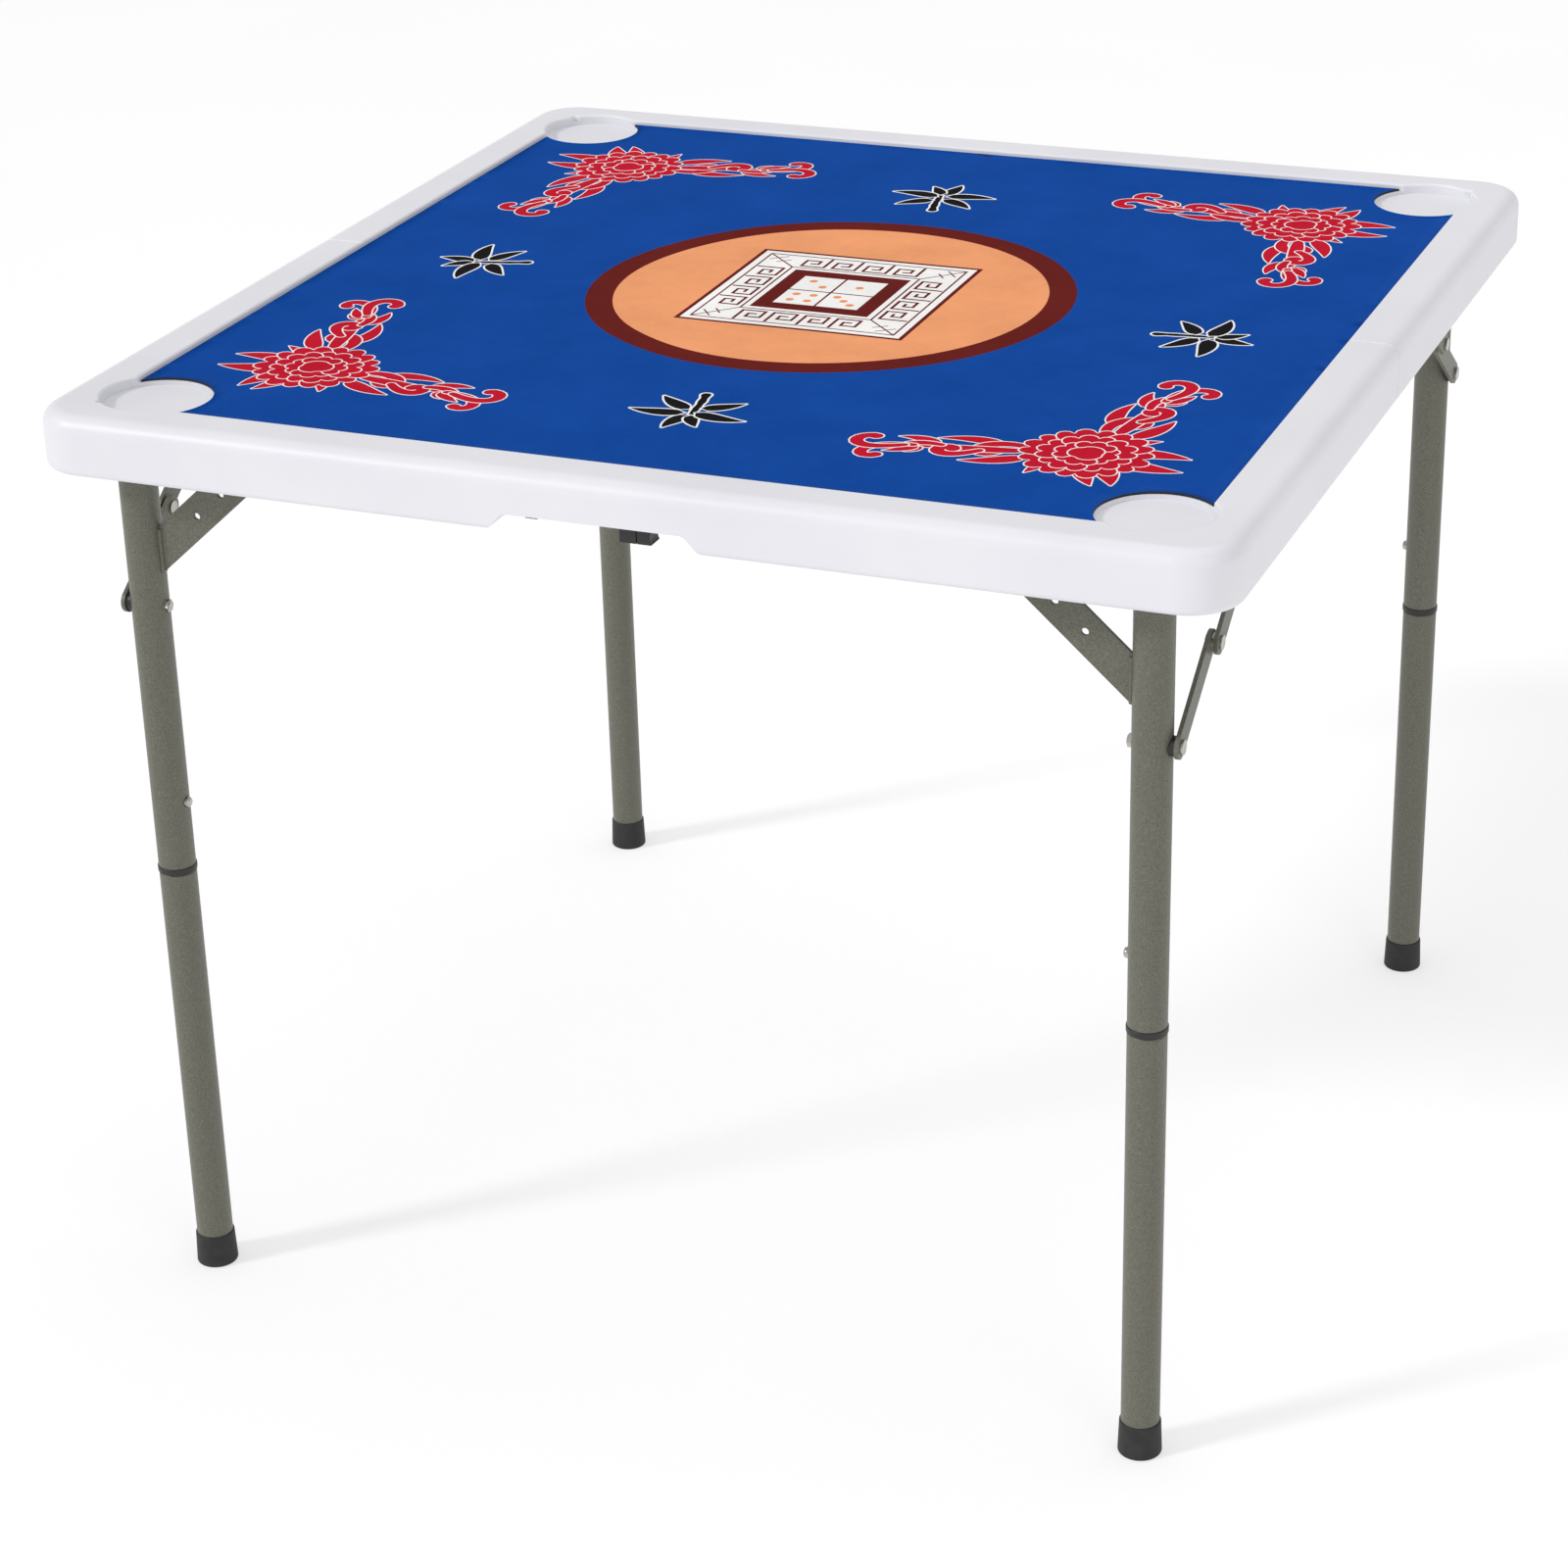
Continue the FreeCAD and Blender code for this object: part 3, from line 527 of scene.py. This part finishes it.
def curl(ink, start, heading, length, width, bend, edge, place, steps=16):
    """A vine tip that winds tighter as it goes and ends in a bulb."""
    path, p, direction = [Vector(start)], Vector(start), heading
    for i in range(steps):
        t = (i + 0.5) / steps
        direction += bend * 2 * t / steps
        p = p + Vector((cos(direction), sin(direction))) * (length / steps) * (1.25 - 0.5 * t)
        path.append(p.copy())
    widths = [width * (0.45 + 0.55 * sin(pi * (0.1 + 0.62 * i / steps))) for i in range(steps + 1)]
    widths[-1] = widths[-2] = width * 1.05
    brush(ink, place(path), widths, edge)


# Each ring: how many petals, their length, half spread and first heading.
PETAL_RINGS = [(6, 47, 33, 12), (5, 35, 40, 40), (4, 23, 52, 10), (1, 13, 180, -60)]
# Each stroke: its kind, start, heading, length, width and bend.
VINE = [
    ("leaf", 36, 14, 34, 44, 13, -34), ("leaf", 58, -8, -30, 48, 12, 44),
    ("curl", 40, -6, -20, 60, 11, 290), ("leaf", 36, 2, 4, 96, 11, -10),
    ("curl", 70, 6, 44, 50, 10, -290), ("leaf", 100, -2, -44, 34, 11, 46),
    ("curl", 98, -1, -18, 44, 9, 270), ("leaf", 112, 4, 46, 24, 9, -30),
    ("curl", 116, 2, -2, 56, 9, 215), ("curl", 122, 3, 22, 58, 9.5, -225),
]
# Each leaf round the flower: its heading, start, length, width and bend.
OUTER_SPRAY = [(-16, 46, 54, 15, 28), (22, 42, 60, 17, -26), (50, 40, 52, 17, 22), (78, 40, 50, 15, -24),
               (128, 40, 44, 12, -24), (-48, 40, 44, 12, 22)]

for right in (-1, 1):
    for rear in (-1, 1):
        def in_corner(path, right=right, rear=rear):
            return [Vector((right * (PEONY_PLACE[0] + p.x), rear * (PEONY_PLACE[1] + p.y))) for p in path]

        for mirrored in (False, True):
            def along_edge(path, mirrored=mirrored, in_corner=in_corner):
                laid = [Vector((p.y + VINE_SPREAD * p.x, -p.x)) for p in path]
                return in_corner([Vector((q.y, q.x)) for q in laid] if mirrored else laid)
            for kind, x, y, heading, length, width, bend in VINE:
                draw = curl if kind == "curl" else leaf
                draw("red", (x, y), radians(heading), length, width, radians(bend), FLOWER_EDGE, along_edge)
        for heading, start, length, width, bend in OUTER_SPRAY:
            base = Vector((cos(radians(heading)), sin(radians(heading)))) * (start - 20)
            leaf("red", base, radians(heading), length - 8, width, radians(bend), FLOWER_EDGE, in_corner)
        for count, length, spread, offset in PETAL_RINGS:
            for k in range(count):
                heading = radians(offset) + 2 * pi * k / count
                outlined("red", petal(heading, length, radians(spread)), in_corner)
print("flowers drawn,", len(picture), "shapes in all")

# %% [markdown]
# ### Cut the sheet
#
# One constrained triangulation takes every outline and a grid of loose points.
# The last shape drawn over the middle of a triangle is the ink that shows. The
# grid lets the sheet bend, with closer rows at the fold, and gives it the
# slight ripple of cloth that was rolled for shipping.

# %% Triangulate and build the mat
RIPPLE = 0.35
FLAT_RIM = 60
BEND = 14
BEND_ROW = 4


def lift(x, y):
    """Height of the cloth over its flat place, in millimetres: flat at the rim, uneven inside."""
    inwards = min(1, max(0, (MAT_HALF - max(abs(x), abs(y))) / FLAT_RIM))
    waves = sin(x / 61 + 0.7 * sin(y / 90)) * sin(y / 83 + 1.1) + 0.6 * sin((x + 0.6 * y) / 37 + 2)
    bump = 1.6 * exp(-((x + 95) ** 2 + (y + 135) ** 2) / 32 ** 2)
    return inwards * RIPPLE * (waves + bump)


points, edges = [], []
for ink, outline in picture:
    first, last = len(points), len(points) + len(outline) - 1
    edges += [(i, i + 1) for i in range(first, last)] + [(last, first)]
    points += outline
cells = ceil(2 * MAT_HALF / GRID_STEP)
for i in range(1, cells):
    x = -MAT_HALF + 2 * MAT_HALF * i / cells
    for j in range(1, cells):
        points.append(Vector((x, -MAT_HALF + 2 * MAT_HALF * j / cells)))
    for row in range(-BEND, BEND + 1, BEND_ROW):
        points.append(Vector((x, row)))
flat_points, _, pieces, _, _, _ = delaunay_2d_cdt(points, edges, [], 0, 1e-3, True)


def inside(outline, spots):
    """Which spots the outline goes round, by counting its turns about each."""
    turns = np.zeros(len(spots), int)
    for a, b in zip(outline, outline[1:] + outline[:1]):
        left = (b.x - a.x) * (spots[:, 1] - a.y) - (b.y - a.y) * (spots[:, 0] - a.x) > 0
        turns += (a.y <= spots[:, 1]) & (b.y > spots[:, 1]) & left
        turns -= (a.y > spots[:, 1]) & (b.y <= spots[:, 1]) & ~left
    return turns != 0


middles = np.array(flat_points)[np.array(pieces)].mean(axis=1)
top_shape = np.full(len(pieces), -1)
for shape, (_, outline) in enumerate(picture):
    box = np.array(outline)
    near = np.where(((middles >= box.min(axis=0)) & (middles <= box.max(axis=0))).all(axis=1))[0]
    top_shape[near[inside(outline, middles[near])]] = shape
on_sheet = inside(sheet_outline, middles)
triangles = [t for t, keep in zip(pieces, on_sheet) if keep]
top_shape = top_shape[on_sheet]
sides = {(a, b) for t in triangles for a, b in zip(t, t[1:] + t[:1])}
rim = [(a, b) for a, b in sides if (b, a) not in sides]

under_offset = len(flat_points)
upper = [(p.x * MM, p.y * MM, (MAT_TOP - RIPPLE + lift(p.x, p.y)) * MM) for p in flat_points]
lower = [(x, y, z - MAT_THICK * MM) for x, y, z in upper]
under = [tuple(under_offset + i for i in reversed(t)) for t in triangles]
wall = [(b, under_offset + b, under_offset + a, a) for a, b in rim]

mat_mesh = bpy.data.meshes.new("printed_mat")
mat_mesh.from_pydata(upper + lower, [], [tuple(t) for t in triangles] + under + wall)
print("mat mesh:", len(mat_mesh.vertices), "points,", len(mat_mesh.polygons), "faces,",
      len(rim), "rim edges")

# %% [markdown]
# ### Cloth and sponge rubber
#
# Dye sinks into knitted polyester, so an ink has no gloss of its own: every
# ink is the same cloth in another colour. The knit is two sets of ribs at
# right angles. Its real pitch is about 0.5 mm, drawn at 1.4 mm so that it
# shows. A low specular level keeps the short fibres matt.

# %% Inked cloth
KNIT_MM = 1.4
KNIT_SCALE = 1 / (pi * KNIT_MM * MM)
DYE_CLOUD_MM = 60
CLOTH_IOR = 1.46


def inked_cloth(ink, hex_colour):
    material, tree, place = empty_material("polyester_knit_dyed_" + ink)
    thread = {"Vector": place, "Scale": KNIT_SCALE, "Distortion": 0.6, "Detail": 1.0}
    ribs = add(tree, "TexWave", thread, bands_direction="X")
    rows = add(tree, "TexWave", thread, bands_direction="Y")
    weave = add(tree, "Math", {0: ribs.outputs["Fac"], 1: rows.outputs["Fac"]}, operation="MULTIPLY")
    uneven = add(tree, "TexNoise", {"Vector": place, "Scale": per_metre(DYE_CLOUD_MM), "Detail": 6.0,
                                    "Roughness": 0.7})
    base = linear(hex_colour)
    colour = add(tree, "ValToRGB", {"Fac": uneven.outputs["Fac"]})
    colour.color_ramp.elements[0].position = 0.3
    colour.color_ramp.elements[0].color = (*[c * 0.90 for c in base[:3]], 1)
    colour.color_ramp.elements[1].position = 0.7
    colour.color_ramp.elements[1].color = (*[min(1, c * 1.06 + 0.002) for c in base[:3]], 1)
    surface = add(tree, "Bump", {"Height": weave.outputs["Value"], "Strength": 0.25, "Distance": 0.15 * MM})
    shade(tree, Base_Color=colour.outputs["Color"], Roughness=0.85, IOR=CLOTH_IOR,
          Specular_IOR_Level=0.06, Normal=surface.outputs["Normal"])
    return material


for ink, hex_colour in INKS.items():
    mat_mesh.materials.append(inked_cloth(ink, hex_colour))
mat_mesh.materials.append(black_moulding("sponge_rubber_backing", "#141414", "#242424", 0.75, 0.9,
                                         2.0, 0.2, 20, RUBBER_IOR))
ink_slot = {ink: i for i, ink in enumerate(INKS)}
for k, polygon in enumerate(mat_mesh.polygons):
    printed = k < len(triangles)
    polygon.material_index = ink_slot[picture[top_shape[k]][0]] if printed else len(INKS)
    polygon.use_smooth = printed
mat = bpy.data.objects.new("printed_mat", mat_mesh)
bpy.context.collection.objects.link(mat)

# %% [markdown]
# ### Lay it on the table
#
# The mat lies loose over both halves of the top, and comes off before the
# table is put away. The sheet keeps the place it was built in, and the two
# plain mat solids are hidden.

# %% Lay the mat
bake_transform(mat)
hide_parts("mat_front", "mat_back")
print("mat blends over", 2 * BEND, "mm")

# %% [markdown]
# ## Studio
#
# A white sweep and large soft lamps, as for a catalogue picture. The main lamp
# stands front left, so shadows fall to the back right and stay pale. The
# floor glows a little, as a lit sweep does, which also lights the underside.
# The air is brightest at the horizon, where a real sweep curves up behind.

# %% Floor and lamps
SWEEP_HALF = 30
SWEEP_CLOUD_MM = 400
SWEEP_GLOW = 0.54
HORIZON_GLOW = 0.98
SKY_GLOW = 0.58


def floor():
    material, tree, place = empty_material("paper_sweep_matte")
    speck = add(tree, "TexNoise", {"Vector": place, "Scale": per_metre(SWEEP_CLOUD_MM), "Detail": 2.0})
    colour = add(tree, "ValToRGB", {"Fac": speck.outputs["Fac"]})
    colour.color_ramp.elements[0].color = linear("#BABABA")
    colour.color_ramp.elements[1].color = linear("#BEBEBE")
    shade(tree, Base_Color=colour.outputs["Color"], Roughness=0.9, Specular_IOR_Level=0.0,
          Emission_Color=(1, 1, 1, 1), Emission_Strength=SWEEP_GLOW)
    mesh = bpy.data.meshes.new("sweep")
    mesh.from_pydata([(*corner, 0) for corner in oblong(SWEEP_HALF, SWEEP_HALF)], [], [(0, 1, 2, 3)])
    mesh.materials.append(material)
    sweep = bpy.data.objects.new("sweep", mesh)
    bpy.context.collection.objects.link(sweep)
    return sweep


def lamp(name, place, target, strength, size=0.0, spread=0.0):
    """A round lamp of a given size in metres, or one far away whose light spreads by some degrees."""
    light = bpy.data.lights.new(name, "AREA" if size else "SUN")
    if size:
        light.shape = "DISK"
        light.size = size
    else:
        light.angle = radians(spread)
    light.energy = strength
    thing = bpy.data.objects.new(name, light)
    thing.location = place
    thing.rotation_euler = (Vector(target) - Vector(place)).to_track_quat("-Z", "Y").to_euler()
    bpy.context.collection.objects.link(thing)


floor()
lamp("key", (-2.4, -2.2, 2.7), (0, 0, 0.5), strength=1.35, spread=9)
lamp("fill", (2.8, -2.4, 2.2), (0, 0, 0.5), strength=18, size=2.4)
lamp("top", (0.2, 0.6, 3.6), (0, 0, 0.7), strength=18, size=2.6)

world = bpy.data.worlds.new("studio")
world.use_nodes = True
air = world.node_tree
direction = add(air, "SeparateXYZ", {"Vector": add(air, "TexCoord").outputs["Generated"]})
glow = add(air, "MapRange", {"Value": direction.outputs["Z"], "From Min": 0.02, "From Max": 0.30,
                             "To Min": HORIZON_GLOW, "To Max": SKY_GLOW})
air.links.new(glow.outputs["Result"], air.nodes["Background"].inputs["Strength"])
air.nodes["Background"].inputs["Color"].default_value = (1, 1, 1, 1)
bpy.context.scene.world = world
bpy.context.scene.view_settings.view_transform = "Standard"
print("studio:", len(bpy.data.lights), "lamps and a lit sweep")

# %% [markdown]
# ## Camera
#
# A longish lens from the front right, looking down at the top. The numbers are
# where the camera stands, the way it faces, and a small tilt of the horizon.

# %% Camera
AZIMUTH = 22.7
ELEVATION = 25.0
ROLL = -1.56
LENS_MM = 86.59
STAND = (1.0220, -2.5616, 1.5816)

az, el, roll = radians(AZIMUTH), radians(ELEVATION), radians(ROLL)
back = Vector((sin(az) * cos(el), -cos(az) * cos(el), sin(el)))
right = Vector((cos(az), sin(az), 0))
up = back.cross(right)
tilted_right = right * cos(roll) + up * sin(roll)
tilted_up = up * cos(roll) - right * sin(roll)
camera = bpy.data.objects.new("camera", bpy.data.cameras.new("camera"))
camera.data.lens = LENS_MM
camera.data.sensor_width = 36
facing = Matrix((tilted_right, tilted_up, back)).transposed().to_4x4()
camera.matrix_world = Matrix.Translation(STAND) @ facing
bpy.context.collection.objects.link(camera)
bpy.context.scene.camera = camera
print("camera faces", round(degrees(az), 1), "degrees round and", round(degrees(el), 1), "down")
